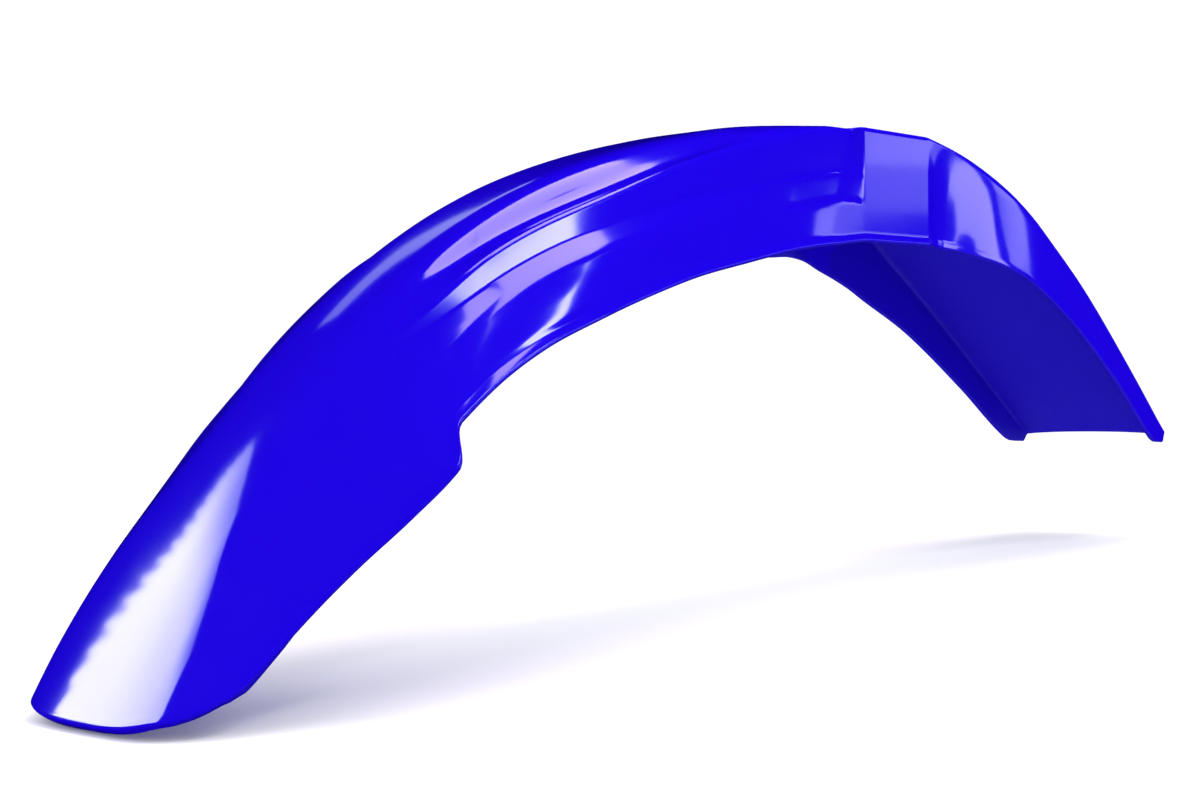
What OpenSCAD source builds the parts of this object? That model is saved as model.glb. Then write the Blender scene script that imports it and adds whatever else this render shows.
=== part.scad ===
// Front mudguard for an off-road motorcycle: one moulded plastic shell.
// A flat deck sits under the lower fork clamp and carries four bolt holes.
// Ahead of the deck a long ribbed nose arches over the wheel and widens into two wings.
// Behind the deck a shorter flap bends down between the fork legs and the engine.
// Lengths are in millimetres. X points forward, Y to the left and Z up.
// The origin is the centre of the deck's top face.

/* [Deck] */
// Length of the flat deck along the motorcycle
deck_length = 62; // [52:1:76]
// Width of the flat deck, between the outside faces of its side walls
deck_width = 100; // [90:1:108]
// Depth of the deck's side walls
recess_depth = 56; // [48:1:58]

/* [Bolt holes] */
// Diameter of each bolt hole
hole_diameter = 7; // [5:0.5:9]
// Distance between the holes across the motorcycle
hole_spacing_across = 64; // [48:1:70]
// Distance between the holes along the motorcycle
hole_spacing_along = 38; // [28:1:40]

/* [Shell] */
// Thickness of the moulding
wall = 3; // [2:0.5:4]
// How far the rolled lip stands out from the rim
lip_out = 1; // [0.4:0.2:1.6]
// Height of the rolled lip
lip_height = 4; // [3:0.5:6]
// Extra thickness of the bead along the front edge
tip_bead = 1.5; // [0:0.5:2]

/* [Front arch] */
// Radius of the crest just ahead of the deck
near_radius = 580; // [480:10:700]
// Slope of the crest where the near arc ends, in degrees
near_slope = 18.5; // [16:0.5:21]
// Radius of the crest over the wheel
middle_radius = 365; // [340:5:400]
// Slope of the crest where the middle arc ends, in degrees
middle_slope = 39; // [36:0.5:42]
// Radius of the crest along the nose
nose_radius = 655; // [560:5:760]
// Slope of the crest at the front edge, in degrees
nose_slope = 55; // [52:0.5:58]

/* [Front flanks] */
// Depth of the flanks below the crest, close to the deck
flank_depth = 59; // [56:1:64]
// Width of the nose where the wings begin, without their reach
wing_width = 136; // [126:1:144]
// Depth of the rim below the crest at the wings
wing_depth = 27; // [24:0.5:30]
// How far the wings step out from the flanks
wing_reach = 10.5; // [6:0.5:14]
// Width of the nose at the front edge
nose_width = 101; // [94:1:108]
// Depth of the rim below the crest at the front edge
nose_depth = 20; // [17:0.5:22]
// How far the middle of the front edge stands ahead of its corners
tip_bow = 46; // [36:1:54]
// Squareness of the front edge's corners
tip_square = 3.1; // [2.4:0.1:3.8]

/* [Step ahead of the deck] */
// Distance from the deck to the top of the step
step_top = 3; // [2:0.5:6]
// Distance from the deck to the foot of the step
step_foot = 24; // [18:1:28]

/* [Rear flap] */
// Length of the flap along its crest
flap_length = 344; // [300:2:370]
// Radius of the flap's bend
flap_radius = 224; // [200:2:250]
// Slope of the flap where the bend ends, in degrees
flap_slope = 33; // [30:0.5:36]
// Slope of the flap at its end, in degrees
flap_end_slope = 39; // [37:0.5:42]

/* [Hidden] */

half_deck = deck_width / 2;
half_wing = wing_width / 2;
half_nose = nose_width / 2;
// Radius of the flap's nearly straight lower part
flap_end_radius = 2000;
front_arcs = [
    [near_radius, near_slope],
    [middle_radius, middle_slope],
    [nose_radius, nose_slope]
];
flap_arcs = [
    [flap_radius, flap_slope],
    [flap_end_radius, flap_end_slope]
];
hole_clear = 1;
hole_sides = 48;
last_corner = 9;

function mix(a, b, t) = a + (b - a) * t;
function share(t) = min(max(t, 0), 1);
function ease(t) = t * t * (3 - 2 * t);
// Rises smoothly from 0 at a to 1 at b
function ramp(a, b, x) = ease(share((x - a) / (b - a)));
// Value a at stage 0, b at stage 1 and c at stage 2
function stage(a, b, c, t) = t <= 1 ? mix(a, b, t) : mix(b, c, t - 1);

// Slope of column c of a table at row i
function table_slope(table, c, i) =
    let (low = max(i - 1, 0))
    let (high = min(i + 1, len(table) - 1))
    (table[high][c] - table[low][c]) / (table[high][0] - table[low][0]);
function table_row(table, u, i = 0) =
    i >= len(table) - 2 || u < table[i + 1][0] ? i : table_row(table, u, i + 1);
// Smooth curve through column c of a table whose first column is the position
function follow(table, c, u) =
    let (at = min(max(u, table[0][0]), table[len(table) - 1][0]))
    let (i = table_row(table, at))
    let (span = table[i + 1][0] - table[i][0])
    let (t = (at - table[i][0]) / span)
    let (start = table[i][c] + table_slope(table, c, i) * span * t * (1 - t) * (1 - t))
    let (turn = table_slope(table, c, i + 1) * span * t * t * (1 - t))
    start + (table[i + 1][c] - table[i][c]) * ease(t) - turn;

// Length of a run of arcs, each a radius and the slope where it ends
function arcs_length(arcs, i = 0, slope = 0) =
    i == len(arcs) ? 0
    : arcs[i][0] * (arcs[i][1] - slope) * PI / 180 + arcs_length(arcs, i + 1, arcs[i][1]);
// Position and slope at distance s along a run of arcs: [ahead, height, slope]
function arcs_point(arcs, s, i = 0, x = 0, z = 0, slope = 0) =
    let (radius = arcs[i][0])
    let (end = arcs[i][1])
    let (run = radius * (end - slope) * PI / 180)
    let (here = slope + s / radius * 180 / PI)
    i == len(arcs) - 1 || s <= run
        ? [x + radius * (sin(here) - sin(slope)), z - radius * (cos(slope) - cos(here)), here]
        : arcs_point(arcs, s - run, i + 1, x + radius * (sin(end) - sin(slope)),
            z - radius * (cos(slope) - cos(end)), end);
// Places a section point [across, down] square to the crest at distance s
function on_crest(arcs, s, p) =
    let (c = arcs_point(arcs, s))
    [deck_length / 2 + c[0] - p[1] * sin(c[2]), p[0], c[1] - p[1] * cos(c[2])];

nose_length = arcs_length(front_arcs);

// Rim of the nose: share of its length, then the stage of its half width and of its depth.
// Stage 0 is beside the deck, 1 at the wings and 2 at the front edge.
rim_stages = [
    [0.04, 0.02, 0.04],
    [0.136, 0.12, 0.01],
    [0.232, 0.21, 0],
    [0.32, 0.35, 0.07],
    [0.41, 0.52, 0.17],
    [0.49, 0.72, 0.35],
    [0.57, 0.80, 0.60],
    [0.636, 0.88, 0.80],
    [0.69, 0.96, 0.93],
    [0.73, 1, 1],
    [0.8, 1.27, 1],
    [0.892, 1.73, 1.33],
    [0.948, 1.88, 1.75],
    [1, 2, 2]
];
rim_table = [
    for (r = rim_stages)
        [r[0], stage(half_deck, half_wing, half_nose, r[1]),
            stage(flank_depth, wing_depth, nose_depth, r[2])]
];
// Reach of the wings: share of the nose length and share of the full reach
wing_table = [
    [0.66, 1],
    [0.74, 1],
    [0.78, 0.78],
    [0.83, 0.45],
    [0.89, 0.2],
    [0.96, 0],
    [1, 0]
];
// Shares of the nose length between which the wings step out
wing_start = 0.69;
wing_full = 0.732;
// Direction in which the wings reach: across and down
wing_lean = [0.73, 0.68];

// Corner lines of the nose: share of its length, drop of the crest, then across and down
// for the ridge, the channel, the shoulder, the waist and the lower step.
// Across is a share of the deck's half width and down a share of the flank depth.
line_table = [
    [0.04, -0.010, 0.44, -0.013, 0.80, -0.004, 0.91, 0.020, 0.936, 0.381, 0.960, 0.398],
    [0.128, -0.020, 0.48, -0.020, 0.78, 0.030, 0.90, 0.098, 0.926, 0.432, 0.952, 0.449],
    [0.224, 0.005, 0.48, 0, 0.73, 0.135, 0.856, 0.153, 0.920, 0.458, 0.952, 0.483],
    [0.384, 0, 0.45, 0.003, 0.63, 0.198, 0.81, 0.208, 0.904, 0.403, 1.06, 0.52],
    [0.536, -0.012, 0.39, -0.005, 0.57, 0.118, 0.76, 0.122, 0.864, 0.268, 1.01, 0.37],
    [0.6, -0.020, 0.36, -0.008, 0.57, 0.070, 0.73, 0.115, 0.820, 0.218, 0.98, 0.30],
    [0.672, -0.025, 0.34, -0.010, 0.50, 0.034, 0.63, 0.074, 0.730, 0.163, 0.930, 0.224],
    [0.75, -0.010, 0.30, 0.003, 0.45, 0.034, 0.57, 0.078, 0.650, 0.146, 0.900, 0.220],
    [0.8, 0, 0.28, 0.010, 0.42, 0.029, 0.54, 0.058, 0.620, 0.112, 0.880, 0.207],
    [0.87, 0.024, 0.28, 0.027, 0.42, 0.036, 0.56, 0.054, 0.660, 0.088, 0.860, 0.186],
    [0.94, 0.061, 0.28, 0.063, 0.44, 0.069, 0.58, 0.083, 0.700, 0.105, 0.860, 0.203],
    [1, 0.102, 0.28, 0.103, 0.44, 0.108, 0.58, 0.117, 0.700, 0.136, 0.840, 0.220]
];
// Softness of the same corners and of the two ledge corners below them
soft_table = [
    [0.04, 0.9, 0.9, 0.45, 0.3, 0.5, 0.4, 0.4],
    [0.224, 0.9, 0.7, 0.5, 0.25, 0.6, 0.6, 0.6],
    [0.384, 0.9, 0.7, 0.4, 0.2, 0.6, 0.7, 0.7],
    [0.536, 0.9, 0.7, 0.4, 0.2, 0.6, 0.9, 0.9],
    [0.6, 0.9, 0.8, 0.5, 0.3, 0.6, 0.9, 0.9],
    [0.672, 0.9, 0.9, 0.9, 0.9, 0.9, 0.9, 0.9]
];
crest_soft = 0.9;
// Ledge along the foot of the step: depth, its thickness, its fall ahead and its outward run
ledge_depth = 0.6;
ledge_height = 1.2;
ledge_fall = 0.09;
ledge_run = [0.7, 2.1];
ledge_fade = [0.11, 0.19];
// Places of the two lowest corners between the lower step and the rim
wall_places = [0.36, 0.7];
// Outward bulge of the lower walls and where it grows
bulge = 0.04;
bulge_limit = 1.2;
bulge_grow = [0.12, 0.52];
// Distance over which the slant of the step dies away ahead of it
step_fade = 110;
// Share of the step's height over which its foot slants
step_slant = 0.75;
// Share of the nose length where the bead along the front edge starts
bead_start = 0.985;
// How far back from the front edge the bow reaches, as a multiple of the bow
bow_reach = 5;

// Deck section: across as a share of its half width, down as a share of its depth
deck_corners = [
    [0, 0],
    [0.4, 0],
    [0.76, 0],
    [1, 0],
    [1, 0.42],
    [1, 0.46],
    [1, 0.64],
    [1, 0.7]
];
deck_soft = [0.9, 0.9, 0.9, 0.2, 0.3, 0.5, 0.4, 0.4];

// Flap: share of its length, then across and down for its shoulder and for its rim.
// Across is a share of the deck's half width and down a share of the recess depth.
flap_table = [
    [0, 1, 0, 1, 1],
    [0.035, 1.006, 0.030, 0.928, 0.99],
    [0.088, 1.03, 0.067, 0.932, 0.99],
    [0.22, 1.096, 0.137, 1.104, 0.95],
    [0.38, 1.124, 0.152, 1.188, 0.8],
    [0.55, 1.112, 0.117, 1.15, 0.61],
    [0.76, 1.06, 0.098, 1.1, 0.475],
    [0.95, 1.004, 0.065, 1.035, 0.375],
    [1, 0.98, 0.041, 1, 0.19]
];
// Places of the crown corners between the crest and the shoulder: across and down
flap_crown = [[0, 0], [0.4, 0.1], [0.75, 0.45], [1, 1]];
// Places of the skirt corners between the shoulder and the rim
flap_skirt = [0.3, 0.4, 0.6, 0.75];
// Softness of the flap's corners at the deck, and after its bend
flap_soft_near = [0.9, 0.9, 0.9, 0.2, 0.3, 0.5, 0.4, 0.4];
flap_soft_far = [0.9, 0.9, 0.9, 0.6, 0.8, 0.8, 0.8, 0.8];
flap_soft_run = 0.2;
// Share of the flap's length over which the rolled lip dies away
flap_lip_fade = 0.25;

// Largest share of the last stretch of wall that the rolled lip takes
lip_share = 0.6;

// Ends a list of corners with the rolled lip: its start on the wall and its edge
function with_lip(corners, rim, out) =
    let (before = corners[len(corners) - 1])
    let (left = norm(rim - before))
    let (down = (rim - before) / left)
    concat(corners, [rim - down * min(lip_height, left * lip_share)], [rim + [down[1], -down[0]] * out]);

// Corners of the nose section at distance s, from the crest to the rim
function nose_corners(s) =
    let (u = s / nose_length)
    let (lines = [
        for (k = [0:4])
            [follow(line_table, 2 + 2 * k, u) * half_deck, follow(line_table, 3 + 2 * k, u) * flank_depth]
    ])
    let (foot = [follow(rim_table, 1, u), follow(rim_table, 2, u)])
    let (run = foot - lines[4])
    let (swell = ramp(bulge_grow[0], bulge_grow[1], u) * min(norm(run) * bulge, bulge_limit))
    let (out = [run[1], -run[0]] / norm(run) * swell)
    let (wall_blend = ramp(ledge_fade[0], ledge_fade[1], u))
    let (ledge_down = ledge_depth * flank_depth + (s - step_foot) * ledge_fall)
    let (lower = [
        for (k = [0:1])
            mix([lines[4][0] + ledge_run[k], ledge_down + k * ledge_height],
                lines[4] + run * wall_places[k] + out, wall_blend)
    ])
    let (reach = follow(wing_table, 1, u) * ramp(wing_start, wing_full, u) * wing_reach)
    with_lip(concat([[0, follow(line_table, 1, u) * flank_depth]], lines, lower),
        foot + wing_lean * reach, lip_out);
function nose_soft(s) =
    concat([crest_soft], [for (k = [1:7]) follow(soft_table, k, s / nose_length)]);

// Corners of the deck section
deck_section = with_lip([for (c = deck_corners) [c[0] * half_deck, c[1] * recess_depth]],
    [half_deck, recess_depth], lip_out);

// Corners of the flap section at distance s behind the deck
function flap_corners(s) =
    let (u = s / flap_length)
    let (shoulder = [follow(flap_table, 1, u) * half_deck, follow(flap_table, 2, u) * recess_depth])
    let (rim = [follow(flap_table, 3, u) * half_deck, follow(flap_table, 4, u) * recess_depth])
    let (crown = [for (c = flap_crown) [shoulder[0] * c[0], shoulder[1] * c[1]]])
    let (skirt = [for (place = flap_skirt) mix(shoulder, rim, place)])
    with_lip(concat(crown, skirt), rim, lip_out * (1 - ramp(0, flap_lip_fade, u)));
function flap_soft(s) =
    let (t = ramp(0, flap_soft_run, s / flap_length))
    [for (k = [0:7]) mix(flap_soft_near[k], flap_soft_far[k], t)];

// Least value of 1 plus the cosine of a corner's turn that the inset follows exactly
mitre_limit = 0.35;

// Inside direction of the edge between corner i and the next one
function edge_in(corners, i) =
    let (edge = corners[i + 1] - corners[i])
    [-edge[1], edge[0]] / norm(edge);
// Corners moved inwards by a wall thickness, keeping every edge parallel
function inset(corners, depth) = [
    for (i = [0:last_corner])
        let (here = i == last_corner ? edge_in(corners, i - 1) : edge_in(corners, i))
        let (before = i == 0 ? here : edge_in(corners, i - 1))
        let (both = i == 0 ? [0, 1] : (before + here) / max(1 + before * here, mitre_limit))
        corners[i] + both * depth
];

// Points of one half section: the corner each belongs to and its place round that corner
corner_steps = [1, 2, 2, 3, 2, 3, 2, 2];
samples = concat(
    [[0, 0.5], [0, 1]],
    [for (k = [1:7]) for (j = [0:corner_steps[k]]) [k, j / corner_steps[k]]],
    [[8, 0], [9, 0]]
);
side_count = len(samples);
// Section point on the curve that rounds a corner
function rounded(corners, soft, sample) =
    let (k = sample[0])
    let (t = sample[1])
    let (p = corners[k])
    let (before = k == 0 ? [-corners[1][0], corners[1][1]] : corners[k - 1])
    k >= len(soft) ? p
    : let (from = mix(p, before, soft[k] / 2))
      let (to = mix(p, corners[k + 1], soft[k] / 2))
      from * (1 - t) * (1 - t) + p * 2 * t * (1 - t) + to * t * t;

function nose_point(s, sample, depth) =
    rounded(inset(nose_corners(s), depth), nose_soft(s), sample);
function flap_point(s, sample, depth) =
    rounded(inset(flap_corners(s), depth), flap_soft(s), sample);
function deck_point(sample, depth) = rounded(inset(deck_section, depth), deck_soft, sample);

// Distance from the deck at which each section line leaves the step
step_ends = [
    for (sample = samples)
        let (down = deck_point(sample, 0)[1] / recess_depth)
        mix(step_top, step_foot, ramp(0, step_slant, down))
];

// One half line of the nose at share u of its length: bowed at the front, slanted at the step
function nose_line(u, depth) =
    let (s = u * nose_length)
    let (rim = nose_corners(s)[last_corner][0])
    let (bow = tip_bow * ramp(nose_length - bow_reach * tip_bow, nose_length, s))
    let (bead = depth > 0 ? tip_bead * ramp(bead_start, 1, u) : 0)
    [
        for (j = [0:side_count - 1])
            let (v = share(nose_point(s, samples[j], 0)[0] / rim))
            let (back = s - bow * (1 - pow(1 - pow(v, tip_square), 1 / tip_square)))
            let (slant = (step_ends[j] - step_foot) * (1 - ramp(step_foot, step_fade, back)))
            on_crest(front_arcs, back + slant, nose_point(back + slant, samples[j], depth + bead))
    ];
// One half line across the step, from the deck (0) to the nose (1)
function step_line(t, depth) = [
    for (j = [0:side_count - 1])
        let (s = step_ends[j] * t)
        on_crest(front_arcs, s, mix(deck_point(samples[j], depth), nose_point(s, samples[j], depth), t))
];
// One half line of the flap at share u of its length
function flap_line(u, depth) = [
    for (sample = samples)
        let (s = u * flap_length)
        let (p = on_crest(flap_arcs, s, flap_point(s, sample, depth)))
        [-p[0], p[1], p[2]]
];

// Shares of the length at which the lines are drawn
nose_shares = concat(
    [1, bead_start, 0.965, 0.937],
    [for (i = [0:5]) mix(0.90, 0.74, i / 5)],
    [for (i = [0:4]) mix(0.728, 0.684, i / 4)],
    [for (i = [0:15]) mix(0.65, 0.08, i / 15)]
);
step_shares = [1, 0.92, 0.08, 0];
flap_shares = concat(
    [0, 0.012, 0.03, 0.053, 0.082, 0.118, 0.165],
    [for (i = [0:8]) mix(0.22, 0.84, i / 8)],
    [0.9, 0.95, 0.98, 1]
);
function half_lines(depth) = concat(
    [for (u = nose_shares) nose_line(u, depth)],
    [for (t = step_shares) step_line(t, depth)],
    [for (u = flap_shares) flap_line(u, depth)]
);
// Whole lines from the right rim to the left rim
function whole_lines(depth) = [
    for (line = half_lines(depth))
        concat([for (j = [side_count - 1:-1:1]) [line[j][0], -line[j][1], line[j][2]]], line)
];

module shell() {
    outside = whole_lines(0);
    inside = whole_lines(wall);
    rows = len(outside);
    width = 2 * side_count - 1;
    total = rows * width;
    points = [for (surface = [outside, inside]) for (line = surface) each line];
    skins = [
        for (i = [0:rows - 2])
            for (j = [0:width - 2])
                let (a = i * width + j)
                let (b = a + width)
                each [
                    [a, b, b + 1],
                    [a, b + 1, a + 1],
                    [total + b + 1, total + b, total + a],
                    [total + a + 1, total + b + 1, total + a]
                ]
    ];
    side_rims = [
        for (i = [0:rows - 2])
            let (a = i * width)
            let (b = a + width)
            let (c = a + width - 1)
            let (d = c + width)
            each [
                [b, a, total + a],
                [b, total + a, total + b],
                [c, d, total + d],
                [c, total + d, total + c]
            ]
    ];
    end_rims = [
        for (j = [0:width - 2])
            let (a = j)
            let (b = (rows - 1) * width + j)
            each [
                [a, a + 1, total + a + 1],
                [a, total + a + 1, total + a],
                [b + 1, b, total + b],
                [b + 1, total + b, total + b + 1]
            ]
    ];
    polyhedron(points, concat(skins, side_rims, end_rims));
}

module bolt_holes() {
    for (x = [-1, 1])
        for (y = [-1, 1])
            translate([x * hole_spacing_along / 2, y * hole_spacing_across / 2, -wall - hole_clear])
                cylinder(d = hole_diameter, h = wall + 2 * hole_clear, $fn = hole_sides);
}

module mudguard() {
    color([0.06, 0.02, 0.78])
        difference() {
            shell();
            bolt_holes();
        }
}

mudguard();
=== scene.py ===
# %% [markdown]
# # A moulded front mudguard
# The real object is one thin shell of polypropylene, shot into a mould in a single go.
# It has no second part, so all of its looks lie in its curves, its edges and its gloss.
# We first load the engineering model, which fixes the place and the size of everything.

# %% Load the frame
import math
import bpy
import numpy as np
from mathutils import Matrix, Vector


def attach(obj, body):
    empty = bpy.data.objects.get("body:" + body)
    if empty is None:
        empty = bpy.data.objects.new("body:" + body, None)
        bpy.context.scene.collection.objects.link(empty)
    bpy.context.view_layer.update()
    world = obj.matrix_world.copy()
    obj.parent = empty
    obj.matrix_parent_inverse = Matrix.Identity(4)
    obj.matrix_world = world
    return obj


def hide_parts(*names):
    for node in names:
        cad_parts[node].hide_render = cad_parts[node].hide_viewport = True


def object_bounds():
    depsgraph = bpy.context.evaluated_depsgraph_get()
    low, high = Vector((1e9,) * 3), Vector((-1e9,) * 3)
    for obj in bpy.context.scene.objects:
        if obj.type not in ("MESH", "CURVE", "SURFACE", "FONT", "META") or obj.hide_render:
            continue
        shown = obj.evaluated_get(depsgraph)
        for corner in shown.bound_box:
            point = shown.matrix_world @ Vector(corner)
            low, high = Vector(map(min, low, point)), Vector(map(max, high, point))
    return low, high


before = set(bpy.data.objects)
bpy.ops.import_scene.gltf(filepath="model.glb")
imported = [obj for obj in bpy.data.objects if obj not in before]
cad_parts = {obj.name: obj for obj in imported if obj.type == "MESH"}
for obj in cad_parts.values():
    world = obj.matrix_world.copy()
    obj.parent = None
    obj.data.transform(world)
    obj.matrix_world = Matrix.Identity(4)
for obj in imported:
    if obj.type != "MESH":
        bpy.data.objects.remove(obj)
cad_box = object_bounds()
print("nodes:", sorted(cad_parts))
print("size in mm:", [round(1000 * (high - low), 1) for low, high in zip(*cad_box)])

# %% [markdown]
# ## The camera first
# The photograph was taken from the front left, a little below the level of the deck.
# A camera is easiest to set by where it stands and where it looks, so we turn its view
# axis from one point to the other. A long lens keeps the perspective as mild as it is there.

# %% Camera
CAMERA_PLACE = Vector((0.788, 0.521, -0.115))
CAMERA_AIM = Vector((0.118, -0.049, -0.1305))
CAMERA_ROLL = math.radians(-1.4)
LENS = 54
SENSOR = 36
NEAR_CLIP = 0.01

camera = bpy.data.objects.new("camera", bpy.data.cameras.new("camera"))
camera.data.lens = LENS
camera.data.sensor_width = SENSOR
camera.data.clip_start = NEAR_CLIP
camera.location = CAMERA_PLACE
camera.rotation_euler = (CAMERA_AIM - CAMERA_PLACE).to_track_quat("-Z", "Y").to_euler()
camera.rotation_euler.rotate_axis("Z", CAMERA_ROLL)
bpy.context.scene.collection.objects.link(camera)
bpy.context.scene.camera = camera
print("camera is", round((CAMERA_AIM - CAMERA_PLACE).length, 3), "m from its aim")

# %% [markdown]
# ## The sizes that drive the shell
# The engineering model is faceted, to stay light. For looks we want a surface that carries
# a smooth reflection, so we draw the same shell again from the same sizes, only finer.
# Everything here is in millimetres, and turns into metres at the very end.

# %% Driving sizes in millimetres
MM = 0.001
DECK_LENGTH = 62
HALF_DECK = 50
RECESS_DEPTH = 56
WALL = 3
LIP_OUT = 1
LIP_HEIGHT = 4
LIP_SHARE = 0.6
TIP_BEAD = 1.5
FLANK_DEPTH = 59
HALF_WING = 68
WING_DEPTH = 27
WING_REACH = 10.5
HALF_NOSE = 50.5
NOSE_DEPTH = 20
TIP_BOW = 46
TIP_SQUARE = 3.1
STEP_TOP = 3
STEP_FOOT = 24
FLAP_LENGTH = 344
FRONT_ARCS = [(580, 18.5), (365, 39), (655, 55)]
FLAP_ARCS = [(224, 33), (2000, 39)]

# %% [markdown]
# ## Three small tools for curves
# `mix` blends two values and `ramp` rises smoothly from 0 to 1. `follow` draws a smooth
# curve through a short table: a few given stations then shape a whole long surface,
# in the way that a boat builder bends a batten round a few frames.

# %% Curve helpers
def mix(a, b, t):
    return a + (b - a) * t


def ramp(a, b, x):
    t = np.clip((x - a) / (b - a), 0, 1)
    return t * t * (3 - 2 * t)


def stage(a, b, c, t):
    return mix(a, b, t) if t <= 1 else mix(b, c, t - 1)


def follow(table, column, u):
    place = table[:, 0]
    value = table[:, column]
    low = np.maximum(np.arange(len(place)) - 1, 0)
    high = np.minimum(np.arange(len(place)) + 1, len(place) - 1)
    slope = (value[high] - value[low]) / (place[high] - place[low])
    at = np.clip(u, place[0], place[-1])
    i = np.clip(np.searchsorted(place, at, side="right") - 1, 0, len(place) - 2)
    span = place[i + 1] - place[i]
    t = (at - place[i]) / span
    rise = (value[i + 1] - value[i]) * t * t * (3 - 2 * t)
    return value[i] + rise + span * t * (1 - t) * (slope[i] * (1 - t) - slope[i + 1] * t)


print("half way up a ramp:", float(ramp(0, 1, 0.5)))

# %% [markdown]
# ## The crest line
# Seen from the side, the mudguard follows a chain of arcs that meet without a kink. Each arc
# is given by its radius and by the slope where it ends. Every cross-section is then set
# square to this line, so depths are measured along the section and not straight down.

# %% Crest
def arcs_length(arcs):
    total = 0
    slope = 0
    for radius, end in arcs:
        total += radius * math.radians(end - slope)
        slope = end
    return total


def on_crest(arcs, s, section):
    x, z, turn = np.zeros_like(s), np.zeros_like(s), np.zeros_like(s)
    begun, slope, x0, z0 = 0, 0, 0, 0
    for radius, end in arcs:
        end = math.radians(end)
        here = slope + (s - begun) / radius
        inside = s >= begun
        x = np.where(inside, x0 + radius * (np.sin(here) - math.sin(slope)), x)
        z = np.where(inside, z0 - radius * (math.cos(slope) - np.cos(here)), z)
        turn = np.where(inside, here, turn)
        x0 += radius * (math.sin(end) - math.sin(slope))
        z0 -= radius * (math.cos(slope) - math.cos(end))
        begun += radius * (end - slope)
        slope = end
    across, down = section[:, 0], section[:, 1]
    return np.stack([DECK_LENGTH / 2 + x - down * np.sin(turn), across, z - down * np.cos(turn)], 1)


NOSE_LENGTH = arcs_length(FRONT_ARCS)
print("length along the nose's crest:", round(NOSE_LENGTH, 1), "mm")

# %% [markdown]
# ## Tables that hold the character
# These few rows say how the ribs, the flutes and the rims run. Positions are shares of the
# nose's or flap's length. Widths are shares of the deck's half width and depths are shares
# of the flank's or the recess's depth, so the whole shape scales with the sizes above.

# %% Section tables
RIM_STAGES = [
    (0.04, 0.02, 0.04), (0.136, 0.12, 0.01), (0.232, 0.21, 0), (0.32, 0.35, 0.07),
    (0.41, 0.52, 0.17), (0.49, 0.72, 0.35), (0.57, 0.80, 0.60), (0.636, 0.88, 0.80),
    (0.69, 0.96, 0.93), (0.73, 1, 1), (0.8, 1.27, 1), (0.892, 1.73, 1.33),
    (0.948, 1.88, 1.75), (1, 2, 2),
]
RIM = np.array([
    (u, stage(HALF_DECK, HALF_WING, HALF_NOSE, w), stage(FLANK_DEPTH, WING_DEPTH, NOSE_DEPTH, d))
    for u, w, d in RIM_STAGES
])
WING = np.array([(0.66, 1), (0.74, 1), (0.78, 0.78), (0.83, 0.45), (0.89, 0.2), (0.96, 0), (1, 0)])
WING_START = 0.69
WING_FULL = 0.732
WING_LEAN = np.array([0.73, 0.68])
LINES = np.array([
    (0.04, -0.010, 0.44, -0.013, 0.80, -0.004, 0.91, 0.020, 0.936, 0.381, 0.960, 0.398),
    (0.128, -0.020, 0.48, -0.020, 0.78, 0.030, 0.90, 0.098, 0.926, 0.432, 0.952, 0.449),
    (0.224, 0.005, 0.48, 0, 0.73, 0.135, 0.856, 0.153, 0.920, 0.458, 0.952, 0.483),
    (0.384, 0, 0.45, 0.003, 0.63, 0.198, 0.81, 0.208, 0.904, 0.403, 1.06, 0.52),
    (0.536, -0.012, 0.39, -0.005, 0.57, 0.118, 0.76, 0.122, 0.864, 0.268, 1.01, 0.37),
    (0.6, -0.020, 0.36, -0.008, 0.57, 0.070, 0.73, 0.115, 0.820, 0.218, 0.98, 0.30),
    (0.672, -0.025, 0.34, -0.010, 0.50, 0.034, 0.63, 0.074, 0.730, 0.163, 0.930, 0.224),
    (0.75, -0.010, 0.30, 0.003, 0.45, 0.034, 0.57, 0.078, 0.650, 0.146, 0.900, 0.220),
    (0.8, 0, 0.28, 0.010, 0.42, 0.029, 0.54, 0.058, 0.620, 0.112, 0.880, 0.207),
    (0.87, 0.024, 0.28, 0.027, 0.42, 0.036, 0.56, 0.054, 0.660, 0.088, 0.860, 0.186),
    (0.94, 0.061, 0.28, 0.063, 0.44, 0.069, 0.58, 0.083, 0.700, 0.105, 0.860, 0.203),
    (1, 0.102, 0.28, 0.103, 0.44, 0.108, 0.58, 0.117, 0.700, 0.136, 0.840, 0.220),
])
SOFT = np.array([
    (0.04, 0.9, 0.9, 0.45, 0.3, 0.5, 0.4, 0.4),
    (0.224, 0.9, 0.7, 0.5, 0.25, 0.6, 0.6, 0.6),
    (0.384, 0.9, 0.7, 0.4, 0.2, 0.6, 0.7, 0.7),
    (0.536, 0.9, 0.7, 0.4, 0.2, 0.6, 0.9, 0.9),
    (0.6, 0.9, 0.8, 0.5, 0.3, 0.6, 0.9, 0.9),
    (0.672, 0.9, 0.9, 0.9, 0.9, 0.9, 0.9, 0.9),
])
FLAP = np.array([
    (0, 1, 0, 1, 1), (0.035, 1.006, 0.030, 0.928, 0.99), (0.088, 1.03, 0.067, 0.932, 0.99),
    (0.22, 1.096, 0.137, 1.104, 0.95), (0.38, 1.124, 0.152, 1.188, 0.8),
    (0.55, 1.112, 0.117, 1.15, 0.61), (0.76, 1.06, 0.098, 1.1, 0.475),
    (0.95, 1.004, 0.065, 1.035, 0.375), (1, 0.98, 0.041, 1, 0.19),
])
print("stations:", len(RIM), "on the rim,", len(LINES), "on the ribs,", len(FLAP), "on the flap")

# %% [markdown]
# ## Corners of a cross-section
# A half section is a chain of ten corners: crest, ridge, channel, shoulder, waist, lower
# step, two wall corners, the start of the rolled lip, and the rim. Ribs pressed into thin
# plastic make it stiff, and the rolled lip does the same for its edge.

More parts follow.
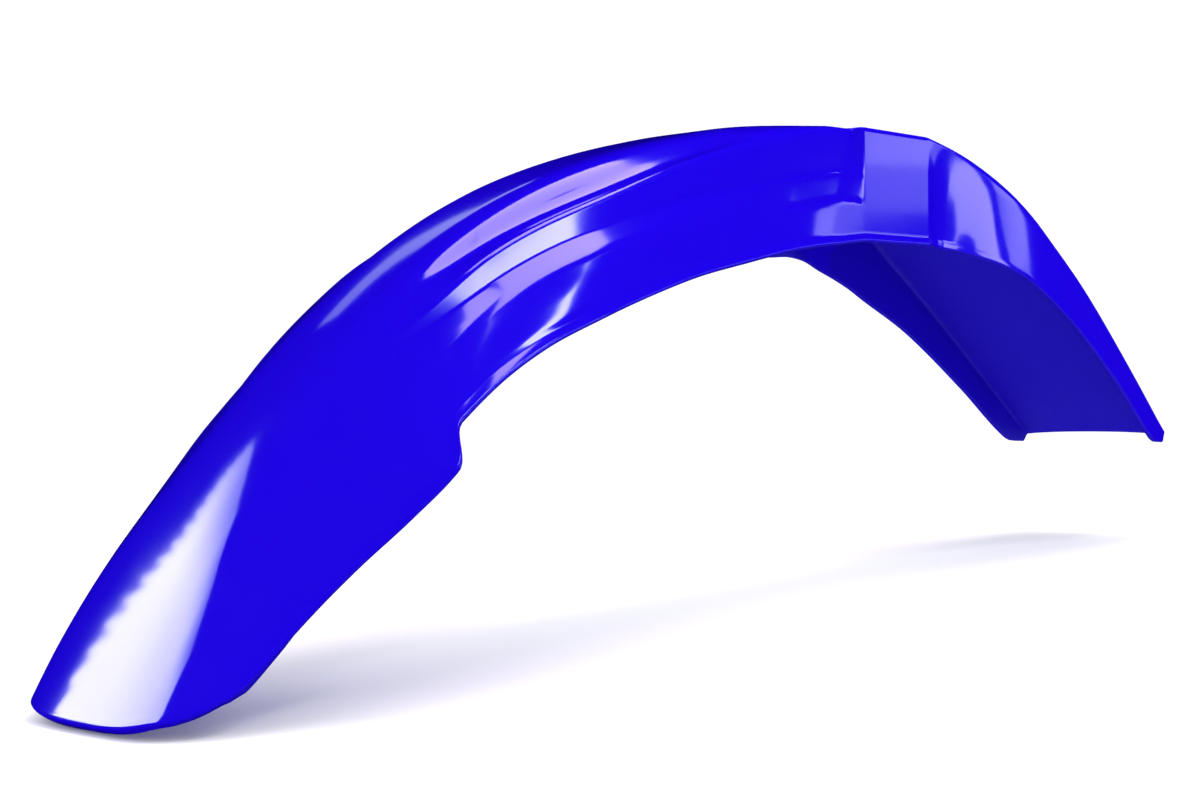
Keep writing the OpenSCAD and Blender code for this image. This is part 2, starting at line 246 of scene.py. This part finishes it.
# %% Section corners
CREST_SOFT = 0.9
LEDGE_DEPTH = 0.6
LEDGE_HEIGHT = 1.2
LEDGE_FALL = 0.09
LEDGE_RUN = (0.7, 2.1)
LEDGE_FADE = (0.11, 0.19)
WALL_PLACES = (0.36, 0.7)
BULGE = 0.04
BULGE_LIMIT = 1.2
BULGE_GROW = (0.12, 0.52)


LINE_COLUMNS = range(2, 12, 2)
SOFT_COLUMNS = range(1, 8)


def unit(v):
    return v / np.linalg.norm(v, axis=-1, keepdims=True)


def outward(v):
    return np.stack([v[..., 1], -v[..., 0]], -1)


def with_lip(corners, rim, out):
    down = unit(rim - corners[-1])
    left = np.linalg.norm(rim - corners[-1], axis=1)
    height = np.minimum(LIP_HEIGHT, left * LIP_SHARE)[:, None]
    return np.stack(corners + [rim - down * height, rim + outward(down) * out[:, None]], 1)


def nose_corners(s):
    u = s / NOSE_LENGTH
    size = np.array([HALF_DECK, FLANK_DEPTH])
    crest = np.stack([0 * s, follow(LINES, 1, u) * FLANK_DEPTH], 1)
    lines = [np.stack([follow(LINES, k, u), follow(LINES, k + 1, u)], 1) * size for k in LINE_COLUMNS]
    step = lines[-1]
    foot = np.stack([follow(RIM, 1, u), follow(RIM, 2, u)], 1)
    run = foot - step
    reach = np.linalg.norm(run, axis=1)
    swell = ramp(*BULGE_GROW, u) * np.minimum(reach * BULGE, BULGE_LIMIT)
    blend = ramp(*LEDGE_FADE, u)[:, None]
    ledge_down = LEDGE_DEPTH * FLANK_DEPTH + (s - STEP_FOOT) * LEDGE_FALL
    lower = []
    for k in range(len(WALL_PLACES)):
        ledge = np.stack([step[:, 0] + LEDGE_RUN[k], ledge_down + k * LEDGE_HEIGHT], 1)
        wall = step + run * WALL_PLACES[k] + outward(unit(run)) * swell[:, None]
        lower.append(mix(ledge, wall, blend))
    wing = follow(WING, 1, u) * ramp(WING_START, WING_FULL, u) * WING_REACH
    return with_lip([crest] + lines + lower, foot + WING_LEAN * wing[:, None], LIP_OUT + 0 * s)


def nose_soft(s):
    table = [follow(SOFT, k, s / NOSE_LENGTH) for k in SOFT_COLUMNS]
    return np.stack([CREST_SOFT + 0 * s] + table, 1)


middle_section = nose_corners(np.array([NOSE_LENGTH / 2]))[0]
print("half way along the nose:", len(middle_section), "corners")
print("its rim at", np.round(middle_section[-1], 1), "mm")

# %% [markdown]
# The deck's section is a plain upturned tray. The flap behind it starts as that tray and
# melts into one broad curve with a short skirt on each side, which stops it from flapping.

# %% Deck and flap corners
DECK_CORNERS = [(0, 0), (0.4, 0), (0.76, 0), (1, 0), (1, 0.42), (1, 0.46), (1, 0.64), (1, 0.7)]
DECK_SOFT = np.array([0.9, 0.9, 0.9, 0.2, 0.3, 0.5, 0.4, 0.4])
FLAP_CROWN = [(0, 0), (0.4, 0.1), (0.75, 0.45), (1, 1)]
FLAP_SKIRT = (0.3, 0.4, 0.6, 0.75)
FLAP_SOFT_FAR = np.array([0.9, 0.9, 0.9, 0.6, 0.8, 0.8, 0.8, 0.8])
FLAP_SOFT_RUN = 0.2
FLAP_LIP_FADE = 0.25


def deck_corners(s):
    size = np.array([HALF_DECK, RECESS_DEPTH])
    row = 0 * s[:, None]
    return with_lip([row + np.array(c) * size for c in DECK_CORNERS], row + size, LIP_OUT + 0 * s)


def deck_soft(s):
    return 0 * s[:, None] + DECK_SOFT


def flap_corners(s):
    u = s / FLAP_LENGTH
    shoulder = np.stack([follow(FLAP, 1, u) * HALF_DECK, follow(FLAP, 2, u) * RECESS_DEPTH], 1)
    rim = np.stack([follow(FLAP, 3, u) * HALF_DECK, follow(FLAP, 4, u) * RECESS_DEPTH], 1)
    crown = [shoulder * np.array(c) for c in FLAP_CROWN]
    skirt = [mix(shoulder, rim, place) for place in FLAP_SKIRT]
    return with_lip(crown + skirt, rim, LIP_OUT * (1 - ramp(0, FLAP_LIP_FADE, u)))


def flap_soft(s):
    return mix(DECK_SOFT, FLAP_SOFT_FAR, ramp(0, FLAP_SOFT_RUN, s / FLAP_LENGTH)[:, None])


print("deck's rim at", deck_corners(np.zeros(1))[0][-1], "mm")

# %% [markdown]
# ## From corners to a skin with thickness
# Moving every edge of a section inwards by the wall thickness gives the inner skin. Each
# corner is then rounded with a short curve between points on its two edges, just as a mould
# maker's cutter leaves it. The rim gets a quarter round on each side: no moulding has a
# knife edge. The small round at the lip's start keeps its shading off the flat wall above.

# %% Skin helpers
EDGE_ROUND = 1.1
EDGE_TURNS = (0, 22.5, 45, 67.5, 90)
MITRE_LIMIT = 0.35
CORNER_STEPS = (3, 6, 7, 8, 5, 8, 6, 6, 3)
LIP_START = 8
RIM_CORNER = 9
LIP_SOFT = 0.2

half_round = []
for turn in EDGE_TURNS:
    a = math.radians(turn)
    half_round.append((EDGE_ROUND * (1 - math.sin(a)), EDGE_ROUND * (1 - math.cos(a))))
samples = [(0, 0.5 + 0.5 * j / CORNER_STEPS[0], 0, 0) for j in range(CORNER_STEPS[0] + 1)]
for k in range(1, RIM_CORNER):
    samples += [(k, j / CORNER_STEPS[k], 0, 0) for j in range(CORNER_STEPS[k] + 1)]
samples += [(RIM_CORNER, 0, pull, sink) for pull, sink in half_round]
SAMPLES = np.array(samples, float)
CORNER = SAMPLES[:, 0].astype(int)
TURN = SAMPLES[:, 1][:, None]
PULL = SAMPLES[:, 2][:, None]
SINK = SAMPLES[:, 3]


def inset(corners, depth):
    edges = unit(corners[:, 1:] - corners[:, :-1])
    inward = -outward(edges)
    before, after = inward[:, :-1], inward[:, 1:]
    both = (before + after) / np.maximum(1 + np.sum(before * after, -1, keepdims=True), MITRE_LIMIT)
    crest = np.zeros_like(inward[:, :1])
    crest[..., 1] = 1
    return corners + np.concatenate([crest, both, inward[:, -1:]], 1) * depth[:, None, None]


def rounded(corners, soft):
    row = np.arange(len(CORNER))
    here = corners[row, CORNER]
    mirrored = corners[row, 1] * np.array([-1, 1])
    before = np.where(CORNER[:, None] == 0, mirrored, corners[row, np.maximum(CORNER - 1, 0)])
    after = corners[row, np.minimum(CORNER + 1, RIM_CORNER)]
    at_lip = CORNER == LIP_START
    softness = np.where(at_lip, LIP_SOFT, soft[row, np.minimum(CORNER, LIP_START - 1)])[:, None] / 2
    start = mix(here, before, softness)
    end = mix(here, after, softness)
    curve = start * (1 - TURN) ** 2 + here * 2 * TURN * (1 - TURN) + end * TURN ** 2
    down = unit(corners[:, RIM_CORNER] - corners[:, LIP_START])
    return np.where(CORNER[:, None] == RIM_CORNER, here - down * PULL, curve)


def section(corners, soft, depth):
    return rounded(inset(corners, depth), soft)


print("points on a half section:", len(SAMPLES))

# %% [markdown]
# ## Rows of points along the shell
# Three kinds of row make the shell: nose, step and flap. The front edge is bowed, so a row
# there bends back towards its ends. At the step the ribs stop on a slant, and each point
# leaves the step where its own rib ends.

# %% Row functions
STEP_FADE = 110
STEP_SLANT = 0.75
BOW_REACH = 5
BEAD_START = 0.985

still = np.zeros(len(SAMPLES))
deck_section = section(deck_corners(still), deck_soft(still), still)
step_ends = mix(STEP_TOP, STEP_FOOT, ramp(0, STEP_SLANT, deck_section[:, 1] / RECESS_DEPTH))


def skin_depths(end_sink, bead=0):
    sink = np.minimum(SINK + end_sink, EDGE_ROUND)
    return sink, WALL + bead - sink


def nose_row(s, end_sink=0):
    flat = s + still
    corners = nose_corners(flat)
    across = section(corners, nose_soft(flat), still)[:, 0]
    v = np.clip(across / corners[:, 9, 0], 0, 1)
    bow = TIP_BOW * ramp(NOSE_LENGTH - BOW_REACH * TIP_BOW, NOSE_LENGTH, s)
    back = flat - bow * (1 - (1 - v ** TIP_SQUARE) ** (1 / TIP_SQUARE))
    back = back + (step_ends - STEP_FOOT) * (1 - ramp(STEP_FOOT, STEP_FADE, back))
    bead = TIP_BEAD * ramp(BEAD_START, 1, s / NOSE_LENGTH)
    return [on_crest(FRONT_ARCS, back, section(nose_corners(back), nose_soft(back), depth))
            for depth in skin_depths(end_sink, bead)]


def step_row(t):
    s = step_ends * t
    return [on_crest(FRONT_ARCS, s, mix(section(deck_corners(still), deck_soft(still), depth),
                                        section(nose_corners(s), nose_soft(s), depth), t))
            for depth in skin_depths(0)]


def deck_row(x):
    return [on_crest(FRONT_ARCS, still, section(deck_corners(still), deck_soft(still), depth))
            + np.array([x - DECK_LENGTH / 2, 0, 0]) for depth in skin_depths(0)]


def flap_row(s, end_sink=0):
    flat = s + still
    return [on_crest(FLAP_ARCS, flat, section(flap_corners(flat), flap_soft(flat), depth))
            * np.array([-1, 1, 1]) for depth in skin_depths(end_sink)]


print("the step runs from", STEP_TOP, "mm at the top to", STEP_FOOT, "mm at its foot")

# %% [markdown]
# ## Soft folds
# Where rows meet at a fold, a plain row would leave a hard crease. We swap it for a few rows
# on a short curve between its neighbours. That gives the small fillets which catch a thin
# line of light at the end of the ribs and on both sides of the deck.

# %% Assemble the rows
FOLD_STEPS = 6
FOLD = 1.6
STEP_FOLD = 0.11
STEP_MARGIN = 2.5
END_MARGIN = 3
NOSE_ROWS = 150
DECK_ROWS = 5
FLAP_ROWS = 70


def softened(rows, fold_at):
    made = []
    for i, row in enumerate(rows):
        if i not in fold_at:
            made.append(row)
            continue
        for j in range(1, FOLD_STEPS):
            t = j / FOLD_STEPS
            made.append(rows[i - 1] * (1 - t) ** 2 + row * 2 * t * (1 - t) + rows[i + 1] * t * t)
    return made


nose_end = STEP_FOOT + STEP_MARGIN
rows = [nose_row(NOSE_LENGTH - pull, sink) for pull, sink in reversed(half_round)]
rows += [nose_row(s) for s in np.linspace(NOSE_LENGTH - END_MARGIN, nose_end, NOSE_ROWS)]
nose_fold = len(rows)
rows += [step_row(t) for t in (1, 1 - STEP_FOLD, 0.5, STEP_FOLD)]
deck_fold = len(rows)
rows += [step_row(0)]
rows += [deck_row(x) for x in np.linspace(DECK_LENGTH / 2 - FOLD, FOLD - DECK_LENGTH / 2, DECK_ROWS)]
flap_fold = len(rows)
rows += [flap_row(0)]
rows += [flap_row(s) for s in np.linspace(FOLD, FLAP_LENGTH - END_MARGIN, FLAP_ROWS)]
rows += [flap_row(FLAP_LENGTH - pull, sink) for pull, sink in half_round]
rows = softened([np.array(row) for row in rows], {nose_fold, deck_fold, flap_fold})
print("rows along the shell:", len(rows))

# %% [markdown]
# ## Rows into a mesh
# Each row becomes a closed ring: over the top from rim to rim, then back underneath. Rings
# joined with quads make a tube pressed flat, and a strip closes it at each end. This is
# watertight by construction, so no repair is ever needed.

# %% Mesh
MIRROR = np.array([1, -1, 1])


def ring(row):
    outer, inner = row
    over = np.concatenate([outer[:0:-1] * MIRROR, outer])
    under = np.concatenate([inner[:0:-1] * MIRROR, inner])
    return np.concatenate([over, under[::-1]])


rings = np.array([ring(row) for row in rows]) * MM
count, around = rings.shape[:2]
over_count = around // 2
index = np.arange(count * around).reshape(count, around)
quads = []
for i in range(count - 1):
    for j in range(around):
        k = (j + 1) % around
        quads.append((index[i, j], index[i + 1, j], index[i + 1, k], index[i, k]))
for j in range(over_count - 1):
    k = around - 1 - j
    quads.append((index[0, j], index[0, j + 1], index[0, k - 1], index[0, k]))
    quads.append((index[-1, k], index[-1, k - 1], index[-1, j + 1], index[-1, j]))

mesh = bpy.data.meshes.new("mudguard_shell")
mesh.from_pydata(rings.reshape(-1, 3).tolist(), [], [tuple(int(v) for v in q) for q in quads])
shell = bpy.data.objects.new("mudguard_shell", mesh)
bpy.context.scene.collection.objects.link(shell)
print("shell:", len(mesh.vertices), "points,", len(mesh.polygons), "faces")

# %% [markdown]
# ## Bolt holes
# The four holes are drilled with a boolean, which is the right tool for a cut through a flat
# face. The cutter is a turned shape with a slight flare at both faces, so each hole gets the
# small lead-in that a mould pin leaves.

# %% Bolt holes
HOLE_RADIUS = 3.5
HOLE_SPACING_ALONG = 38
HOLE_SPACING_ACROSS = 64
FLARE = 0.5
HOLE_SIDES = 48
SHARP_ANGLE = math.radians(32)


def cutter_mesh(x, y):
    profile = [(HOLE_RADIUS + 2 * FLARE, FLARE), (HOLE_RADIUS, -FLARE),
               (HOLE_RADIUS, FLARE - WALL), (HOLE_RADIUS + 2 * FLARE, -WALL - FLARE)]
    points = []
    for radius, z in profile:
        for j in range(HOLE_SIDES):
            a = 2 * math.pi * j / HOLE_SIDES
            points.append(((x + radius * math.cos(a)) * MM, (y + radius * math.sin(a)) * MM, z * MM))
    bands = len(profile) - 1
    bottom = range(bands * HOLE_SIDES, (bands + 1) * HOLE_SIDES)
    faces = [tuple(range(HOLE_SIDES)), tuple(reversed(bottom))]
    for i in range(bands):
        for j in range(HOLE_SIDES):
            k = (j + 1) % HOLE_SIDES
            low, high = i * HOLE_SIDES, (i + 1) * HOLE_SIDES
            faces.append((low + j, high + j, high + k, low + k))
    made = bpy.data.meshes.new("bolt_hole_cutter")
    made.from_pydata(points, [], faces)
    return made


bpy.context.view_layer.objects.active = shell
for x in (-1, 1):
    for y in (-1, 1):
        cutter = bpy.data.objects.new("bolt_hole_cutter", cutter_mesh(
            x * HOLE_SPACING_ALONG / 2, y * HOLE_SPACING_ACROSS / 2))
        bpy.context.scene.collection.objects.link(cutter)
        cut = shell.modifiers.new("bolt_hole", "BOOLEAN")
        cut.object = cutter
        cut.solver = "EXACT"
        bpy.ops.object.modifier_apply(modifier=cut.name)
        bpy.data.objects.remove(cutter)
shell.data.set_sharp_from_angle(angle=SHARP_ANGLE)
for face in shell.data.polygons:
    face.use_smooth = True
print("after drilling:", len(shell.data.polygons), "faces")

# %% [markdown]
# ## One colour tool and one node tool
# Screen colours are stored with a curve, and the renderer works without it, so one function
# turns a hex colour to linear. Another adds a shader node with its settings and its links,
# which keeps every material short enough to read in one go.

# %% Material helpers
def linear(hex_colour):
    values = [int(hex_colour[i:i + 2], 16) / 255 for i in (1, 3, 5)]
    return [v / 12.92 if v <= 0.04045 else ((v + 0.055) / 1.055) ** 2.4 for v in values] + [1]


def add(tree, kind, links=None, **settings):
    node = tree.nodes.new(kind)
    for name, value in settings.items():
        if name in node.inputs:
            node.inputs[name].default_value = value
        else:
            setattr(node, name, value)
    for name, source in (links or {}).items():
        tree.links.new(source, node.inputs[name])
    return node


def new_material(name):
    material = bpy.data.materials.new(name)
    material.use_nodes = True
    material.node_tree.nodes.clear()
    return material


print("mid grey is", [round(v, 3) for v in linear("#808080")[:3]])

# %% [markdown]
# ## Injection-moulded polypropylene
# Polypropylene is coloured right through and reflects like other plastics, with an IOR of
# about 1.49. The polished side of the mould leaves it glossy, with a very slight waviness
# where the wall shrank as it cooled. The side towards the wheel comes off a plainer tool
# half and is duller. So the shell gets two finishes. The duller one is also given a darker
# blue, which is painted shade for the inside of the arch.

# %% Plastic
PLASTIC_IOR = 1.49
WAVE_MM = 14
WAVE_DEPTH_MM = 0.5
GRAIN_MM = 0.8
GRAIN_DEPTH_MM = 0.1
ROUGHNESS_SPREAD = 0.15


def moulded_plastic(name, colour, roughness, wave, grain):
    material = new_material(name)
    tree = material.node_tree
    place = add(tree, "ShaderNodeTexCoord").outputs["Object"]
    waves = add(tree, "ShaderNodeTexNoise", {"Vector": place}, Scale=1 / (WAVE_MM * MM), Detail=1.0)
    grains = add(tree, "ShaderNodeTexNoise", {"Vector": place}, Scale=1 / (GRAIN_MM * MM), Detail=2.0)
    slow = add(tree, "ShaderNodeBump", {"Height": waves.outputs["Fac"]},
               Strength=wave, Distance=WAVE_DEPTH_MM * MM)
    fine = add(tree, "ShaderNodeBump", {"Height": grains.outputs["Fac"], "Normal": slow.outputs["Normal"]},
               Strength=grain, Distance=GRAIN_DEPTH_MM * MM)
    dull = add(tree, "ShaderNodeMapRange", {"Value": waves.outputs["Fac"]})
    dull.inputs["To Min"].default_value = roughness * (1 - ROUGHNESS_SPREAD)
    dull.inputs["To Max"].default_value = roughness * (1 + ROUGHNESS_SPREAD)
    shader = add(tree, "ShaderNodeBsdfPrincipled",
                 {"Roughness": dull.outputs["Result"], "Normal": fine.outputs["Normal"]},
                 IOR=PLASTIC_IOR)
    shader.inputs["Base Color"].default_value = linear(colour)
    add(tree, "ShaderNodeOutputMaterial", {"Surface": shader.outputs["BSDF"]})
    return material


gloss = moulded_plastic("polypropylene_polished", "#1500BE", 0.08, 0.03, 0.02)
# The dull finish is rougher, and its darker blue is painted shade for the inside of the arch.
dull = moulded_plastic("polypropylene_dull_painted_shade", "#1300AC", 0.22, 0.02, 0.12)
shell.data.materials.append(gloss)
shell.data.materials.append(dull)
print("materials:", [m.name for m in shell.data.materials])

# %% [markdown]
# ## Which face gets which finish and which gets painted shade
# The two skins lie one wall apart, so we can't tell them by place alone. The ring order
# knows, but the boolean has shuffled it. The shell is an arch over the wheel, though, so its
# inner faces look towards the wheel and its outer faces look away. A point at the wheel's
# middle is enough to tell one from the other.

# %% Assign the finishes
WHEEL_MIDDLE = Vector((0.05, 0, -0.42))
FACES_WHEEL = 0.15

inner_faces = 0
for face in shell.data.polygons:
    to_wheel = (WHEEL_MIDDLE - face.center).normalized()
    if face.normal.dot(to_wheel) > FACES_WHEEL:
        # Inner faces get the rougher finish, with its darker blue as painted shade.
        face.material_index = 1
        inner_faces += 1
print("dull faces:", inner_faces, "of", len(shell.data.polygons))

# %% Ride and replace
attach(shell, "root")
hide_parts("mudguard")
print("the shell stands in for the mudguard of the engineering model")

# %% [markdown]
# ## Floor and light
# A part like this is photographed on a white sweep under large soft lights. The sweep is one
# sheet that curves up behind the object, so no horizon line shows.

# %% Sweep
FLOOR_GAP = 0.0005
FLOOR_Z = cad_box[0][2] - FLOOR_GAP
SWEEP_FRONT = 3.0
SWEEP_BACK = 2.2
SWEEP_RADIUS = 1.2
SWEEP_HEIGHT = 3.0
SWEEP_HALF = 5.0
SWEEP_STEPS = 16

view = CAMERA_AIM - CAMERA_PLACE
view.z = 0
view.normalize()
side = Vector((-view.y, view.x, 0))
profile = [(-SWEEP_FRONT, 0), (SWEEP_BACK, 0)]
for j in range(1, SWEEP_STEPS + 1):
    a = math.pi / 2 * j / SWEEP_STEPS
    profile.append((SWEEP_BACK + SWEEP_RADIUS * math.sin(a), SWEEP_RADIUS * (1 - math.cos(a))))
profile.append((SWEEP_BACK + SWEEP_RADIUS, SWEEP_HEIGHT))
points = []
for away, up in profile:
    for across in (-SWEEP_HALF, SWEEP_HALF):
        spot = view * away + side * across
        points.append((spot.x, spot.y, FLOOR_Z + up))
faces = [(2 * i, 2 * i + 1, 2 * i + 3, 2 * i + 2) for i in range(len(profile) - 1)]
sweep_mesh = bpy.data.meshes.new("studio_sweep")
sweep_mesh.from_pydata(points, [], faces)
for face in sweep_mesh.polygons:
    face.use_smooth = True
sweep = bpy.data.objects.new("studio_sweep", sweep_mesh)
bpy.context.scene.collection.objects.link(sweep)
paper = new_material("white_paper")
paper_shader = add(paper.node_tree, "ShaderNodeBsdfPrincipled", Roughness=0.9)
paper_shader.inputs["Base Color"].default_value = linear("#F4F4F4")
add(paper.node_tree, "ShaderNodeOutputMaterial", {"Surface": paper_shader.outputs["BSDF"]})
sweep.data.materials.append(paper)
print("floor at", round(FLOOR_Z, 4), "m")

# %% [markdown]
# ## Soft boxes
# Glossy plastic shows the shape of each light, so every light is placed by its reflection.
# For a point on the shell we take the direction to the camera, turn it about the surface's
# normal, and that is where the light must be. A narrow box high on the near side draws the
# bright band on the shoulder, and a pool overhead draws the crown. A weak one beyond the
# far side lifts the crest line. Three small ones, low and behind on the near side, draw the
# pale patches on the deck and the flap. A light's radiance is its power over pi times its
# area, so we state the radiance that a reflection needs, and work the power out.

# %% Lights
WARM_TUBE = "#FFE4F2"
COOL_BOX = "#F4E8FF"


def soft_box(name, place, aim, width, height, radiance, colour="#FFFFFF", lights=True):
    light = bpy.data.objects.new(name, bpy.data.lights.new(name, "AREA"))
    light.data.shape = "RECTANGLE"
    light.data.size = width
    light.data.size_y = height
    light.data.energy = radiance * math.pi * width * height
    light.data.color = linear(colour)[:3]
    light.location = place
    light.rotation_euler = (Vector(aim) - Vector(place)).to_track_quat("-Z", "Y").to_euler()
    light.visible_camera = False
    light.visible_diffuse = lights
    bpy.context.scene.collection.objects.link(light)


soft_box("near_tube", (-0.10, 0.93, 1.0), (-0.10, 0.1, 0), 1.06, 0.13, 15)
soft_box("overhead", (-0.20, 0.15, 1.0), (-0.20, 0.25, 0), 0.46, 0.6, 6.5, WARM_TUBE)
soft_box("overhead_front", (0.115, 0.03, 1.0), (0.115, 0.13, 0), 0.17, 0.36, 6.5, WARM_TUBE)
soft_box("far_tube", (-0.45, -1.30, 1.0), (-0.45, 0, 0), 1.0, 0.10, 1.0)
soft_box("right_bank", (-0.92, 1.00, 0.05), (-0.07, 0.05, -0.03), 0.34, 0.17, 5, COOL_BOX)
soft_box("right_far", (-1.62, 1.00, 0.24), (-0.02, 0.05, -0.02), 0.30, 0.10, 2.4, COOL_BOX)
soft_box("right_far_low", (-1.62, 1.00, 0.15), (-0.02, 0.05, -0.02), 0.30, 0.08, 1.2, COOL_BOX)
print("lights above and behind:", len(bpy.data.lights))

# %% [markdown]
# ## A bank with a slanted edge
# The broad sheen on the nose is one tall bank on the left. Its left edge slants and its top
# fades, and a single box can do neither. So the bank is a stack of low boxes: each starts a
# little further left than the one below, and the upper ones are weaker. They show only in
# reflections, because they would otherwise wash the blue out.

# %% Left bank
BANK_FOOT = Vector((0.76, -0.68, 0))
BANK_END = Vector((1.35, 0.25, 0))
BANK_HEIGHT = 0.84
BANK_LAYERS = 16
BANK_SLANT = 0.0225
BANK_RADIANCE = 13
BANK_TOP_RADIANCE = 3
BANK_FADE = 0.4

layer = BANK_HEIGHT / BANK_LAYERS
along = BANK_END - BANK_FOOT
towards = Vector((-along.y, along.x, 0))
for i in range(BANK_LAYERS):
    start = BANK_FOOT - along * BANK_SLANT * i
    radiance = mix(BANK_RADIANCE, BANK_TOP_RADIANCE, ramp(BANK_FADE, 1, i / BANK_LAYERS))
    width = (BANK_END - start).length
    middle = (start + BANK_END) / 2 + Vector((0, 0, layer * (i + 0.5)))
    soft_box("left_bank", middle, middle + towards, width, layer, radiance, lights=False)
print("boxes in the left bank:", BANK_LAYERS)

# %% [markdown]
# ## Even fill and plain colours
# A white world lights the sweep and the shadows evenly. It and the sweep are kept out of
# reflections, as a real studio is dark between its lights, and that keeps a glossy blue deep.
# The standard view shows colours as they are, without a film curve that would grey them.

# %% World and view
FILL_STRENGTH = 1.3

world = bpy.data.worlds.new("studio")
world.use_nodes = True
world.node_tree.nodes["Background"].inputs["Color"].default_value = linear("#FFFFFF")
world.node_tree.nodes["Background"].inputs["Strength"].default_value = FILL_STRENGTH
world.cycles_visibility.glossy = False
bpy.context.scene.world = world
sweep.visible_glossy = False
bpy.context.scene.view_settings.view_transform = "Standard"
